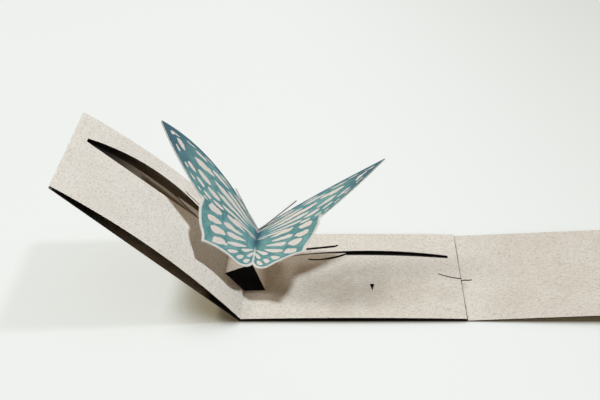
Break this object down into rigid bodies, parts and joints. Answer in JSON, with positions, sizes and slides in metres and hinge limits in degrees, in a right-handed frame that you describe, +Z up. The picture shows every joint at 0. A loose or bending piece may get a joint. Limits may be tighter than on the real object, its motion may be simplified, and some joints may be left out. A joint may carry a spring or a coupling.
{
  "type": "pop-up business card",
  "caption": "Folded strip of grey card, standing part open, with a window at the spine through which a small strip lifts a butterfly folded from printed card.",
  "frame": {"origin": "middle of the panel that lies flat on the table, on its underside", "axes": "+X from the standing panel towards the plain end panel, +Y from the front edge to the back edge, +Z up from the table"},
  "size_m": [0.2322, 0.055, 0.0609],
  "materials": {
    "grey_card": "matte recycled grey card with fine darker fibres",
    "strip_card": "matte recycled grey card",
    "printed_card": "matte card printed in teal, dark blue and cream"
  },
  "bodies": {
    "root": {"card_strip": "grey_card", "lift_strip": "strip_card", "butterfly": "printed_card"}
  },
  "joints": []
}
